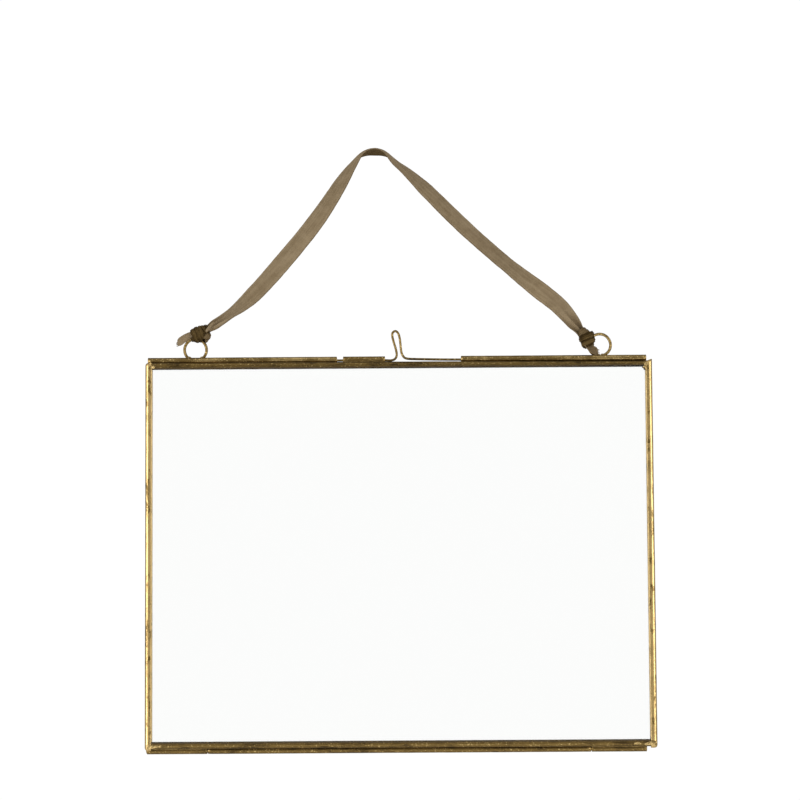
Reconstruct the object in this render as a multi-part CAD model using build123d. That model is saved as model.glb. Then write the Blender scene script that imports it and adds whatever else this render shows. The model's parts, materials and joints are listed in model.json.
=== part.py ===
from build123d import *
import os
from math import atan2, ceil, cos, degrees, radians, sin, sqrt, tan

# Floating frame: two panes of glass, each in its own leaf of soldered brass channel.
# The front leaf turns on a tube hinge along the bottom.  A bent wire pin in the tubes
# along the top holds it shut, and a ribbon knotted to two rings hangs the frame.
#
# Millimetres.  The origin is under the bight of the ribbon, where the nail bears.
# +X runs along the frame to its right, the front faces -Y and +Z is up.
# Pieces are drawn about the centre of the closed frame and then moved by `placed`.

# ---- leaves ---------------------------------------------------------------
opening_w = 203.2        # clear width between the side rails, an 8 inch print
opening_h = 152.4        # clear height between the top and bottom rails, 6 inches
rail_face = 2.65         # height of a rail's face
leaf_t = 3.0             # a rail's thickness, front to back
wall = 0.45              # brass sheet of the channel
leaf_gap = 0.2           # between the two closed leaves
end_round = 1.2          # worn outer corner where a side rail ends

# ---- glass ----------------------------------------------------------------
glass_fit = 0.05         # play between the glass and each wall of its channel
glass_seat = 0.35        # how far the pane's edge stands into the round of the channel
glass_arris = 0.2        # ground edge of the pane

# ---- tubes along the top and the bottom -------------------------------------
tube_od = 2.6
tube_id = 1.8
tube_clearance = 0.1     # between a tube and the rounds of the rails beside it
barrel_gap = 0.3         # between neighbouring barrels of the hinge
seam_w = 1.1             # width of the solder seam between a tube and its rail
latch_x = -25.4          # inner end of the left top tube, from the frame's centre
latch_gap = 2.5          # between the left top tube and the latch knuckle
latch_knuckle_l = 17.3
loop_gap = 31.3          # room for the pin's finger loop, up to the right top tube
left_tube_over = 1.75    # how far the tubes and the hinge run past the clear opening
right_tube_over = 0.35
left_hinge_over = 1.85
right_hinge_over = -1.55
left_knuckle_l = 24.6
right_knuckle_l = 22.4

# ---- pins -------------------------------------------------------------------
hinge_pin_fit = 0.05     # radial play of the hinge pin in its barrels
hinge_pin_stop = 1.2     # from each end of the hinge to the end of its pin
end_cap_l = 0.45         # solder standing out of the hinge's left end
end_cap_r = 0.6          # radius of the flat at the end of that solder
pin_wire = 0.9
pin_play = 0.07          # between a sprung arm of the latch pin and its tube
pin_tip_in = 1.6         # how far the pin's tip stands in the left top tube
pin_arm_in = 34.0        # how far its other arm stands in the right top tube
foot_r = 2.0             # bends at the foot of the finger loop
loop_r = 1.5             # bends at the top of the finger loop
loop_x = 5.95            # from the latch knuckle to the loop's left foot
loop_h = 11.4            # from the tube's axis to the corner at the loop's top left
loop_lean = 3.5          # how far that corner leans to the left of the left foot
loop_top_w = 3.3         # between the two corners at the loop's top
loop_top_rise = 0.74     # from the left corner up to the right one
loop_foot_w = 1.2        # between the loop's feet

# ---- rings --------------------------------------------------------------------
ring_wire = 1.1
ring_r = 4.55            # radius of the ring's centre line
left_ring_x = -74.3      # ring's centre from the nail
left_ring_rise = 4.62    # ring's centre above the tube's axis
right_ring_x = 92.6
right_ring_rise = 5.53
ring_solder_bite = 0.2   # how far the left ring's solder runs into the tube's seam
ring_solder_l = 3.2

# ---- ribbon ---------------------------------------------------------------------
hang_x = -9.6            # the nail, left of the frame's centre
hang_rise = 86.2         # the nail, above the axis of the top tubes
ribbon_y = 1.8           # the ribbon's plane, behind the plane between the leaves
ribbon_w = 7.8
ribbon_t = 0.3
knot_r = 2.9
knot_l = 7.0
knot_round = 1.8
left_knot_at = (1.9, 6.9)     # x and z from the left ring's centre
left_knot_lean = 25           # the barrel's axis, upwards from +X
right_knot_at = (-5.0, 2.6)
right_knot_lean = -66
left_tail_w = 4.4
right_tail_w = 2.2
tail_y = 0.5             # the tails' plane, in front of the ribbon's
section_step = 2.2       # along the ribbon, between the sections it is lofted from

# The ribbon's route: x and z from the nail, and how far its outer face is turned
# from the front (0) to the outside of the bend (90).
ribbon_points = [
    (-68.8, -72.6, 60), (-59.9, -66.9, 58), (-50.4, -59.2, 26), (-38.5, -45.8, 17),
    (-24.4, -28.8, 20), (-13.6, -12.2, 42), (-8.9, -3.1, 68), (-0.4, 2.0, 101),
    (8.4, -1.6, 68), (21.0, -14.9, 40), (37.7, -32.0, 33), (56.0, -48.2, 33),
    (68.7, -58.2, 14), (78.5, -66.0, 24), (84.1, -74.0, 48),
]
left_tail_points = [(-75.0, -75.4, 8), (-78.8, -76.1, 8), (-81.6, -79.2, 8)]
right_tail_points = [(88.2, -81.7, 20), (89.6, -83.1, 20), (92.0, -83.5, 20)]

# ---- worked out from the above ----------------------------------------------------
leaf_w = opening_w + 2 * rail_face
leaf_h = opening_h + 2 * rail_face
leaf_y = (leaf_t + leaf_gap) / 2
rail_r = leaf_t / 2
bore_r = rail_r - wall
straight_wall = rail_face - rail_r
glass_t = 2 * (bore_r - glass_fit)
glass_bite = straight_wall + glass_seat
glass_w = opening_w + 2 * glass_bite
glass_h = opening_h + 2 * glass_bite
tube_r = tube_od / 2
centre_distance = rail_r + tube_r + tube_clearance
tube_rise = sqrt(centre_distance ** 2 - leaf_y ** 2) - rail_r
tube_z = leaf_h / 2 + tube_rise
seam_reach = tube_r + tube_clearance / 2
hang_z = tube_z + hang_rise
knuckle_x0 = latch_x + latch_gap
knuckle_x1 = knuckle_x0 + latch_knuckle_l
right_tube_x = knuckle_x1 + loop_gap
hinge_x0 = -opening_w / 2 - left_hinge_over
hinge_x1 = opening_w / 2 + right_hinge_over
barrel_x0 = hinge_x0 + left_knuckle_l + barrel_gap
barrel_x1 = hinge_x1 - right_knuckle_l - barrel_gap
arm_offset = (tube_id - pin_wire) / 2 - pin_play

placed = Pos(-hang_x, -ribbon_y, -hang_z)
outward = {"top": 0, "right": 90, "bottom": 180, "left": -90}


def rod(radius, x0, x1, y, z):
    """A solid cylinder along X."""
    return Pos((x0 + x1) / 2, y, z) * Rot(0, 90, 0) * Cylinder(radius, x1 - x0)


def tube(x0, x1, z):
    """A barrel on the plane between the leaves."""
    return rod(tube_r, x0, x1, 0, z) - rod(tube_id / 2, x0 - 1, x1 + 1, 0, z)


def bar(radius, length):
    """A round-backed bar along X: its back is rail_r - radius below z = 0, its flat at -rail_face."""
    half_disc = Circle(radius) & Pos(0, radius / 2) * Rectangle(2 * radius, radius)
    sides = Pos(0, -straight_wall / 2) * Rectangle(2 * radius, straight_wall)
    return Pos(0, 0, -rail_r) * extrude(Plane.YZ * (half_disc + sides), amount=length / 2, both=True)


def outline(y):
    """A leaf's outer shape: worn corners, and a full round along the top and the bottom."""
    corners = extrude(Plane.XZ * RectangleRounded(leaf_w, leaf_h, end_round), amount=leaf_t, both=True)
    rounds = extrude(Plane.YZ * SlotOverall(leaf_h, leaf_t, rotation=90), amount=leaf_w, both=True)
    return Pos(0, y, 0) * (corners & rounds)


def on_side(piece, side, y):
    """Turn a bar's back outwards and set it on one side of the leaf."""
    reach = leaf_w / 2 if side in ("left", "right") else leaf_h / 2
    return Pos(0, y, 0) * Rot(0, outward[side], 0) * Pos(0, 0, reach) * piece


def rail(side, y):
    """A channel rail.  Side rails run the full height, the others fit between them."""
    upright = side in ("left", "right")
    length = leaf_h if upright else opening_w
    channel = bar(rail_r, length) - bar(bore_r, length + 2)
    placed_rail = on_side(channel, side, y)
    return placed_rail & outline(y) if upright else placed_rail


def pane(y):
    glass = Box(glass_w, glass_t, glass_h)
    return Pos(0, y, 0) * chamfer(glass.edges(), glass_arris)


def corner_solder(y):
    """Solder that closes the four ends of the side channels beyond the glass."""
    plugs = []
    depth = (leaf_h - glass_h) / 2 - glass_fit
    for side in ("left", "right"):
        core = on_side(bar(bore_r, leaf_h), side, y) & outline(y)
        for end in (-1, 1):
            z = end * (leaf_h / 2 - depth / 2)
            plugs.append(core & Pos(0, y, z) * Box(2 * leaf_w, leaf_t, depth))
    return plugs


def seam(x0, x1, z, leaf_side, edge):
    """Solder in the valley between a tube and the round of one leaf's rail."""
    length = x1 - x0
    rail_z = edge * (leaf_h / 2 - rail_r)
    rail_y = leaf_side * leaf_y
    along = degrees(atan2(rail_z - z, rail_y))
    strip = Pos((x0 + x1) / 2, 0, z) * Rot(along, 0, 0) * Pos(0, seam_reach, 0) * Box(length, seam_w, seam_w)
    cut = strip - rod(tube_r, x0 - 1, x1 + 1, 0, z) - rod(rail_r, x0 - 1, x1 + 1, rail_y, rail_z)
    return cut


def ring_y(rise):
    """How far behind the tube's axis a ring lies when it bears on the tube."""
    height = rise - ring_r
    return sqrt((tube_r + ring_wire / 2) ** 2 - height ** 2)


def ring(x, rise):
    return Pos(hang_x + x, ring_y(rise), tube_z + rise) * Rot(90, 0, 0) * Torus(ring_r, ring_wire / 2)


def ring_foot(rise):
    """Where a ring bears on the tube, y and z from the tube's axis."""
    share = tube_r / (tube_r + ring_wire / 2)
    return share * ring_y(rise), share * (rise - ring_r)


def ring_solder_radius():
    """The left ring's solder just runs into the seam below it, and the right ring's is as large."""
    foot_y, foot_z = ring_foot(left_ring_rise)
    share = seam_reach / centre_distance
    across = foot_y - share * leaf_y
    up = foot_z + share * (tube_rise + rail_r)
    return sqrt(across ** 2 + up ** 2) - seam_w / 2 + ring_solder_bite


def ring_solder(x, rise):
    """Solder between the foot of a ring and the tube."""
    y, foot_z = ring_foot(rise)
    z = tube_z + foot_z
    x0 = hang_x + x - ring_solder_l / 2
    x1 = hang_x + x + ring_solder_l / 2
    blob = rod(ring_solder_radius(), x0, x1, y, z)
    tube_cut = rod(tube_r, x0 - 1, x1 + 1, 0, tube_z)
    rail_cut = rod(rail_r, x0 - 1, x1 + 1, leaf_y, leaf_h / 2 - rail_r)
    return blob - tube_cut - rail_cut - ring(x, rise)


def latch_pin():
    """One wire: an arm through the latch knuckle, the finger loop, an arm to slide on."""
    low = tube_z - arm_offset
    high = tube_z + arm_offset
    foot = knuckle_x1 + loop_x
    corner = foot - loop_lean
    route = [
        (latch_x - pin_tip_in, 0, low),
        (foot, 0, low),
        (corner, 0, tube_z + loop_h),
        (corner + loop_top_w, 0, tube_z + loop_h + loop_top_rise),
        (foot + loop_foot_w, 0, high),
        (right_tube_x + pin_arm_in, 0, high),
    ]
    path = FilletPolyline(*route, radius=[foot_r, loop_r, loop_r, foot_r])
    section = Plane(origin=route[0], z_dir=(1, 0, 0)) * Circle(pin_wire / 2)
    return sweep(section, path=path)


def hinge_end_solder():
    """Solder that fills the hinge's left end and stands out as a low dome."""
    plug = rod(tube_id / 2, hinge_x0, hinge_x0 + hinge_pin_stop, 0, -tube_z)
    dome = Cone(tube_r, end_cap_r, end_cap_l)
    return plug + Pos(hinge_x0 - end_cap_l / 2, 0, -tube_z) * Rot(0, -90, 0) * dome


def bends(route):
    """The largest tangent arc at each inner point of a route, 0.45 of the shorter run."""
    radii = []
    for before, here, after in zip(route, route[1:], route[2:]):
        run_in = Vector(*here) - Vector(*before)
        run_out = Vector(*after) - Vector(*here)
        half_turn = radians(run_in.get_angle(run_out) / 2)
        radii.append(0.45 * min(run_in.length, run_out.length) / tan(half_turn))
    return radii


def fraction_of(route):
    """Each route point's share of the whole length."""
    runs = [(Vector(*b) - Vector(*a)).length for a, b in zip(route, route[1:])]
    return [sum(runs[:i]) / sum(runs) for i in range(len(route))]


def eased(t, stops, values):
    """A value eased between the stops on either side of t."""
    for t0, t1, v0, v1 in zip(stops, stops[1:], values, values[1:]):
        if t <= t1:
            s = max(0.0, (t - t0) / (t1 - t0))
            return v0 + (v1 - v0) * s * s * (3 - 2 * s)
    return values[-1]


def band(name, points, y, width):
    """A flat band along a route in an XZ plane, turned as its points say."""
    route = [(hang_x + x, y, hang_z + z) for x, z, face in points]
    faces = [face for x, z, face in points]
    radii = bends(route)
    path = FilletPolyline(*route, radius=radii)
    stops = fraction_of(route)
    sections = ceil(path.length / section_step)
    cuts = []
    for i in range(sections + 1):
        t = i / sections
        tangent = path.tangent_at(t)
        outside = Vector(-tangent.Z, 0, tangent.X)
        angle = radians(eased(t, stops, faces))
        normal = Vector(0, -1, 0) * cos(angle) + outside * sin(angle)
        plane = Plane(origin=path.position_at(t), x_dir=tangent.cross(normal), z_dir=tangent)
        cuts.append(plane * Rectangle(width, ribbon_t))
    solid = loft(cuts, ruled=True)
    print(name, "radii", [round(r, 1) for r in radii], "length", round(path.length, 1),
          "volume", round(solid.volume, 1), "section x length", round(width * ribbon_t * path.length, 1))
    return solid


def knot(ring_x, ring_rise, at, lean):
    """A tight barrel of wraps about a ring's wire."""
    x = hang_x + ring_x + at[0]
    z = tube_z + ring_rise + at[1]
    barrel = Cylinder(knot_r, knot_l)
    barrel = fillet(barrel.edges().filter_by(GeomType.CIRCLE), knot_round)
    return Pos(x, ribbon_y, z) * Rot(0, 90 - lean, 0) * barrel - ring(ring_x, ring_rise)


def build():
    nodes = {}
    for leaf, y in (("rear", leaf_y), ("front", -leaf_y)):
        for side in outward:
            nodes[f"{leaf}_{side}_rail"] = rail(side, y)
        nodes[f"{leaf}_glass"] = pane(y)
        nodes[f"{leaf}_corner_solder"] = corner_solder(y)

    top_tubes = {
        "left_top_tube": (-opening_w / 2 - left_tube_over, latch_x),
        "right_top_tube": (right_tube_x, opening_w / 2 + right_tube_over),
    }
    hinge_barrels = {
        "left_hinge_knuckle": (hinge_x0, barrel_x0 - barrel_gap),
        "right_hinge_knuckle": (barrel_x1 + barrel_gap, hinge_x1),
    }
    for name, (x0, x1) in top_tubes.items():
        nodes[name] = tube(x0, x1, tube_z)
    nodes["latch_knuckle"] = tube(knuckle_x0, knuckle_x1, tube_z)
    nodes["hinge_centre_barrel"] = tube(barrel_x0, barrel_x1, -tube_z)
    for name, (x0, x1) in hinge_barrels.items():
        nodes[name] = tube(x0, x1, -tube_z)

    nodes["top_tube_seams"] = [seam(x0, x1, tube_z, 1, 1) for x0, x1 in top_tubes.values()]
    nodes["latch_knuckle_seam"] = seam(knuckle_x0, knuckle_x1, tube_z, -1, 1)
    nodes["hinge_barrel_seam"] = seam(barrel_x0, barrel_x1, -tube_z, 1, -1)
    nodes["hinge_knuckle_seams"] = [seam(x0, x1, -tube_z, -1, -1) for x0, x1 in hinge_barrels.values()]

    hinge_pin_r = tube_id / 2 - hinge_pin_fit
    nodes["hinge_pin"] = rod(hinge_pin_r, hinge_x0 + hinge_pin_stop, hinge_x1 - hinge_pin_stop, 0, -tube_z)
    nodes["hinge_end_solder"] = hinge_end_solder()
    nodes["latch_pin"] = latch_pin()

    rings = ((left_ring_x, left_ring_rise), (right_ring_x, right_ring_rise))
    nodes["left_ring"] = ring(*rings[0])
    nodes["right_ring"] = ring(*rings[1])
    beds = zip(rings, nodes["top_tube_seams"])
    nodes["ring_solder"] = [ring_solder(x, rise) - bed for (x, rise), bed in beds]

    left_knot = knot(*rings[0], left_knot_at, left_knot_lean)
    right_knot = knot(*rings[1], right_knot_at, right_knot_lean)
    ribbon = band("ribbon", ribbon_points, ribbon_y, ribbon_w)
    left_tail = band("left tail", left_tail_points, tail_y, left_tail_w)
    right_tail = band("right tail", right_tail_points, tail_y, right_tail_w)
    nodes["left_knot"] = left_knot
    nodes["right_knot"] = right_knot
    nodes["ribbon"] = ribbon - left_knot - right_knot
    nodes["left_tail"] = left_tail - left_knot
    nodes["right_tail"] = right_tail - right_knot
    return nodes


os.makedirs("parts", exist_ok=True)
for name, piece in build().items():
    solids = piece if isinstance(piece, list) else [piece]
    moved = [placed * solid for solid in solids]
    export_step(Compound(children=moved) if len(moved) > 1 else moved[0], f"parts/{name}.step")
print("nail above the frame's centre:", hang_z, "top tubes' axis:", tube_z)
print("rear face y, bottom rail z:", leaf_y + rail_r - ribbon_y, -hang_z - opening_h / 2 - straight_wall / 2)
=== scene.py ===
import json
from math import cos, exp, pi, radians, sin, sqrt

import bmesh
import bpy
import numpy as np
from bpy.props import FloatProperty, FloatVectorProperty, PointerProperty
from mathutils import Matrix, Vector, noise


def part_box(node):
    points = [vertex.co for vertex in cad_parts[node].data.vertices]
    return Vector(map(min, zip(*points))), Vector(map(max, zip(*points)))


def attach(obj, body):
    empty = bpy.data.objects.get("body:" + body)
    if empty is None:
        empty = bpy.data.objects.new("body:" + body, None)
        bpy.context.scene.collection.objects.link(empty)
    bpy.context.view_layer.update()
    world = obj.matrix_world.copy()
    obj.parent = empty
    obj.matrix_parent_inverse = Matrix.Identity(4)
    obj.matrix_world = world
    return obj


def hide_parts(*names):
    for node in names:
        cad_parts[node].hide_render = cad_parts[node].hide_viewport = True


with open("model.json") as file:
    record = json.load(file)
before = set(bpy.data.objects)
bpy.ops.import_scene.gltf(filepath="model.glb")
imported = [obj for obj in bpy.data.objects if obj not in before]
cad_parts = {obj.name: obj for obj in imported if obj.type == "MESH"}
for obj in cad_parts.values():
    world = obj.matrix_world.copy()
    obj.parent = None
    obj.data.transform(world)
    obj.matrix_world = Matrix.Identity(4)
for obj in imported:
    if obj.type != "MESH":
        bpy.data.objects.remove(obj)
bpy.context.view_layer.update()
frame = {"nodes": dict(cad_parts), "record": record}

bl_info = {
    "name": "Floating frame",
    "version": (1, 0, 0),
    "blender": (4, 5, 0),
    "location": "3D View > Sidebar > Floating frame",
    "description": "Finishes a hinged glass frame in antique brass that hangs from a ribbon",
    "category": "Object",
}

MM = 0.001


# ---- reading the frame ----


def middle(node):
    low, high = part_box(node)
    return (low + high) / 2


def span(node):
    low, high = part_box(node)
    return high - low


TUBE_R = span("left_top_tube").z / 2
TOP_AXIS = middle("left_top_tube")
HINGE_AXIS = middle("hinge_centre_barrel")
RAIL_T = span("front_top_rail").y
RAIL_FACE = span("front_top_rail").z
LEAF_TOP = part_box("front_top_rail")[1].z
LEAF_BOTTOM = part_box("front_bottom_rail")[0].z
FRONT_Y = middle("front_top_rail").y
REAR_Y = middle("rear_top_rail").y
RING_WIRE = span("left_ring").y
RING_R = (span("left_ring").x - RING_WIRE) / 2
PIN_WIRE = span("latch_pin").y

# The ribbon's route from the left knot over the nail to the right knot, and how far its
# outer face is turned from the front (0) to the outside of the bend (90).
RIBBON_ROUTE = [(x, 0, z) for x, z in (
    (-0.0693, -0.0730), (-0.0599, -0.0669), (-0.0504, -0.0592), (-0.0385, -0.0458), (-0.0244, -0.0288),
    (-0.0136, -0.0122), (-0.0089, -0.0034), (-0.0049, 0.0007), (0.0001, 0.0017), (0.0046, 0.0008),
    (0.0086, -0.0030), (0.0210, -0.0149), (0.0377, -0.0320), (0.0560, -0.0482), (0.0687, -0.0582),
    (0.0785, -0.0660), (0.0850, -0.0752),
)]
RIBBON_FACES = [56, 54, 26, 17, 20, 42, 65, 90, 102, 90, 66, 38, 33, 33, 14, 24, 46]

END_ROUND = 1.2 * MM        # worn outer corner of an upright rail's end
SNIPPED_ROUND = 0.45 * MM   # the same corner on the rail that is snipped
SNIP = 1.1 * MM             # how much shorter a snipped rail is at its lips
TOP_RAIL_DROP = 0.45 * MM   # how far the front top rail's back is filed down at its start
TOP_RAIL_RISE = 0.42 * MM   # how far its lips are filed up there
UPRIGHT_LIPS, LEVEL_LIPS = 0.5, -1.6    # how light a rail's lips are: lighter above 0; darker below 0, a painted shade in the groove beside the glass
WIRE_DRAWN = 1.1            # the wire's thickness against the frame's
LEFT_ARM_DROP = 0.29 * MM   # how far the latch pin's arms lie below the tubes' axis
RIGHT_ARM_DROP = 0.33 * MM


# ---- settings ----


def colour(name, description, default):
    return FloatVectorProperty(
        name=name, description=description, subtype="COLOR", size=3, min=0, max=1, default=default
    )


def distance(name, description, default):
    return FloatProperty(
        name=name, description=description, subtype="DISTANCE", unit="LENGTH", precision=5, default=default
    )


class FrameBrass(bpy.types.PropertyGroup):
    rubbed: colour("Rubbed brass", "Brass where hands and cloths have worn it", (0.83, 0.61, 0.26))
    # Painted highlight: a paler, lighter brass for the upright rails, where the side lamps shine in them.
    upright_highlight_brass: colour("Polished brass", "Brass on the upright rails, where hands hold them", (0.90, 0.64, 0.27))
    aged: colour("Aged brass", "Brass under a thin brown film", (0.215, 0.138, 0.040))
    oxide: colour("Oxide", "Dark oxide in hollows and along joints", (0.045, 0.027, 0.009))
    solder: colour("Solder", "Toned solder at the joints", (0.84, 0.61, 0.26))
    wall: distance("Sheet", "Thickness of the brass sheet in rails and tubes", 0.45 * MM)
    bend: distance("Bend", "How far a long piece wanders from straight", 0.05 * MM)
    dents: distance("Dents", "How deep the small dents in a rail are", 0.045 * MM)


class FrameRibbon(bpy.types.PropertyGroup):
    width: distance("Width", "Width of the ribbon laid flat", 7.8 * MM)
    thickness: distance("Thickness", "Thickness of the ribbon", 0.26 * MM)
    thread: distance("Thread", "Pitch of the weave", 0.16 * MM)
    light: colour("Light threads", "Taupe of the face of the ribbon", (0.300, 0.228, 0.140))
    dark: colour("Dark threads", "Brown between the threads", (0.170, 0.120, 0.064))
    # Painted shade: the knots' cloth, and the brown in their creases, are darker copies of the ribbon's
    # colours for the shade in the knots.
    tight: colour("Tight cloth", "Brown of the cloth drawn tight in a knot", (0.160, 0.106, 0.040))
    crease_shade_colour: colour("Creases", "Dark brown in the creases of a knot", (0.036, 0.021, 0.006))
    # Painted shade: the brown that the ribbon's underside is blended towards.
    shade: colour("Underside", "Brown of the ribbon's underside", (0.095, 0.060, 0.022))


class FrameGlass(bpy.types.PropertyGroup):
    tint: colour("Tint", "Faint green of the panes", (0.992, 0.996, 0.993))


class FrameStage(bpy.types.PropertyGroup):
    lens: FloatProperty(name="Lens", description="Focal length in millimetres", default=99.14)
    room: FloatProperty(name="Room", description="Brightness of the room round the frame", default=0.33)
    backdrop: FloatProperty(name="Backdrop", description="Brightness of the wall behind", default=1.03)


# ---- materials ----


class Value:
    """A node's output.  Arithmetic on it adds Math nodes to its tree."""

    def __init__(self, nodes, socket):
        self.nodes = nodes
        self.socket = socket

    def maths(self, operation, *values):
        return self.nodes.add("ShaderNodeMath", {"operation": operation}, list(values))

    def __add__(self, other):
        return self.maths("ADD", self, other)

    def __sub__(self, other):
        return self.maths("SUBTRACT", self, other)

    def __rsub__(self, other):
        return self.maths("SUBTRACT", other, self)

    def __mul__(self, other):
        return self.maths("MULTIPLY", self, other)

    def __rtruediv__(self, other):
        return self.maths("DIVIDE", other, self)

    __radd__ = __add__

    def clamped(self):
        return self.maths("MAXIMUM", self.maths("MINIMUM", self, 1.0), 0.0)

    def sine(self):
        return self.maths("SINE", self)

    def size(self):
        return self.maths("ABSOLUTE", self)

    def rise(self, low, high):
        """0 below low and 1 above high, smooth between them."""
        settings = {"interpolation_type": "SMOOTHSTEP"}
        values = {"Value": self, "From Min": low, "From Max": high}
        return self.nodes.add("ShaderNodeMapRange", settings, values)


class Nodes:
    """Adds nodes to one tree: a type, its settings, then the values or links of its sockets."""

    def __init__(self, tree):
        self.tree = tree

    def add(self, kind, settings=None, inputs=None, output=0):
        node = self.tree.nodes.new(kind)
        for name, value in (settings or {}).items():
            setattr(node, name, value)
        pairs = enumerate(inputs) if isinstance(inputs, list) else (inputs or {}).items()
        for key, value in pairs:
            if isinstance(value, Value):
                self.tree.links.new(value.socket, node.inputs[key])
            else:
                node.inputs[key].default_value = value
        return Value(self, node.outputs[output]) if len(node.outputs) else None

    def blend(self, share, first, second):
        """A colour between two colours."""
        values = {0: share, 6: rgba(first), 7: rgba(second)}
        return self.add("ShaderNodeMix", {"data_type": "RGBA"}, values, output=2)

    def stretched(self, vector, factors):
        values = {0: vector, 1: factors}
        return self.add("ShaderNodeVectorMath", {"operation": "MULTIPLY"}, values)

    def speckle(self, vector, scale, seed, detail=3.0, roughness=0.5, stretch=None):
        if stretch:
            vector = self.stretched(vector, stretch)
        settings = {"noise_dimensions": "4D"}
        values = {"Vector": vector, "W": seed, "Scale": scale, "Detail": detail, "Roughness": roughness}
        return self.add("ShaderNodeTexNoise", settings, values)

    def bumped(self, height, strength, depth):
        """Normals raised by a height, its depth in millimetres."""
        values = {"Strength": strength, "Distance": depth * MM, "Height": height}
        return self.add("ShaderNodeBump", None, values)

    def attribute(self, name):
        return self.add("ShaderNodeAttribute", {"attribute_name": name}, output="Fac")


def rgba(value):
    return value if isinstance(value, Value) else (*value, 1.0)


def new_material(name):
    """A material with only its output, and the builder for its nodes."""
    material = bpy.data.materials.new(name)
    material.use_nodes = True
    material.node_tree.nodes.clear()
    return material, Nodes(material.node_tree)


def finish_material(nodes, inputs):
    """A Principled surface with these inputs, on the material's output."""
    surface = nodes.add("ShaderNodeBsdfPrincipled", None, inputs)
    nodes.add("ShaderNodeOutputMaterial", None, {"Surface": surface})


def millimetres(nodes):
    """Object coordinates in millimetres."""
    place = nodes.add("ShaderNodeTexCoord", output="Object")
    return nodes.stretched(place, (1000.0, 1000.0, 1000.0))


ALONG_X = (0.12, 1.0, 1.0)
ALONG_Z = (1.0, 1.0, 0.12)
ALL_ROUND = (1.0, 1.0, 1.0)


def brass(name, brushed, seed, painted_lightness=0.0, blotched=0.25, bare=None):
    """Antique brass: browned, waxed, and rubbed bright on its edges.

    brushed stretches the fine scratches along a piece; the value after the seed lifts or lowers the
    whole piece's brightness, painted light and shade for how the lamps fall on it; blotched is how
    deep its dark patches are, and bare is the colour of its rubbed metal.
    """
    settings = bpy.context.scene.frame_brass
    material, nodes = new_material(name)
    place = millimetres(nodes)
    tarnish = nodes.speckle(place, 0.11, seed)
    mottle = nodes.speckle(place, 1.1, seed + 3.1, 4.0, 0.6, brushed)
    scratches = nodes.speckle(place, 2.4, seed + 7.7, stretch=brushed)
    spots = nodes.speckle(place, 1.7, seed + 5.3, 2.0).rise(0.62, 0.74)
    half_brushed = tuple(sqrt(b) for b in brushed)
    blots = nodes.speckle(place, 0.75, seed + 1.7, stretch=half_brushed).rise(0.54, 0.64) * blotched
    flecks = nodes.speckle(place, 2.1, seed + 9.1, 2.0).rise(0.56, 0.68)
    rubbed = nodes.attribute("rubbed")
    # sunk turns the metal to oxide: real oxide in the hollow insides of channels and tubes, and painted shade
    # along the level rails' lips.
    sunk = nodes.attribute("sunk")
    bright = tarnish.rise(0.38, 0.66) * 0.22 + mottle.rise(0.3, 0.72) * 0.22
    # Painted light and shade: the lightness shift lifts lit pieces and lowers shaded ones.
    bright = bright + scratches.rise(0.35, 0.7) * 0.16 + rubbed * 0.55 + flecks * 0.55 + painted_lightness
    bright = (bright - sunk * 0.6 - spots * 0.25 - blots).clamped()
    film = nodes.blend(bright.rise(-0.08, 0.26), settings.oxide, settings.aged)
    # On the upright rails bare is the paler brass, a painted highlight.
    metal = nodes.blend(bright.rise(0.38, 1.0), film, bare or settings.rubbed)
    roughness = 0.44 - bright * 0.16 + spots * 0.1 + sunk * 0.3
    height = mottle * 0.5 + scratches * 0.35 - spots * 0.3
    finish_material(nodes, {
        "Base Color": metal, "Metallic": (1.0 - spots * 0.3 - sunk * 0.8).clamped(),
        "Roughness": roughness, "Normal": nodes.bumped(height, 0.35, 0.03),
        "Coat Weight": 0.18 - sunk.clamped() * 0.18, "Coat Roughness": 0.22,
    })
    return material


def solder(name, seed, bare):
    """Toned solder: paler and rougher than the brass, and brown where it is pitted.

    bare is the share of it that is left untoned.
    """
    settings = bpy.context.scene.frame_brass
    material, nodes = new_material(name)
    place = millimetres(nodes)
    lumps = nodes.speckle(place, 0.9, seed, 4.0, 0.65)
    pits = nodes.speckle(place, 2.6, seed + 2.0, 2.0).rise(0.56, 0.72)
    stain = nodes.blend(lumps.rise(0.36, 0.62) * bare, settings.aged, settings.solder)
    tone = nodes.blend(pits * 0.8, stain, settings.oxide)
    finish_material(nodes, {
        "Base Color": tone, "Metallic": 1.0 - pits * 0.5, "Roughness": 0.3 + lumps * 0.2,
        "Normal": nodes.bumped(lumps * 0.8 - pits * 0.6, 0.6, 0.05),
        "Coat Weight": 0.3, "Coat Roughness": 0.2,
    })
    return material


def glass_finish():
    """Clear glass with the faintest smears."""
    settings = bpy.context.scene.frame_glass
    material, nodes = new_material("clear_glass")
    smears = nodes.speckle(millimetres(nodes), 1.0, 4.0, 4.0, stretch=(0.02, 0.02, 0.05))
    finish_material(nodes, {
        "Base Color": (*settings.tint, 1.0), "Roughness": smears.rise(0.5, 0.8) * 0.02,
        "IOR": 1.5, "Transmission Weight": 1.0,
    })
    return material


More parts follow.
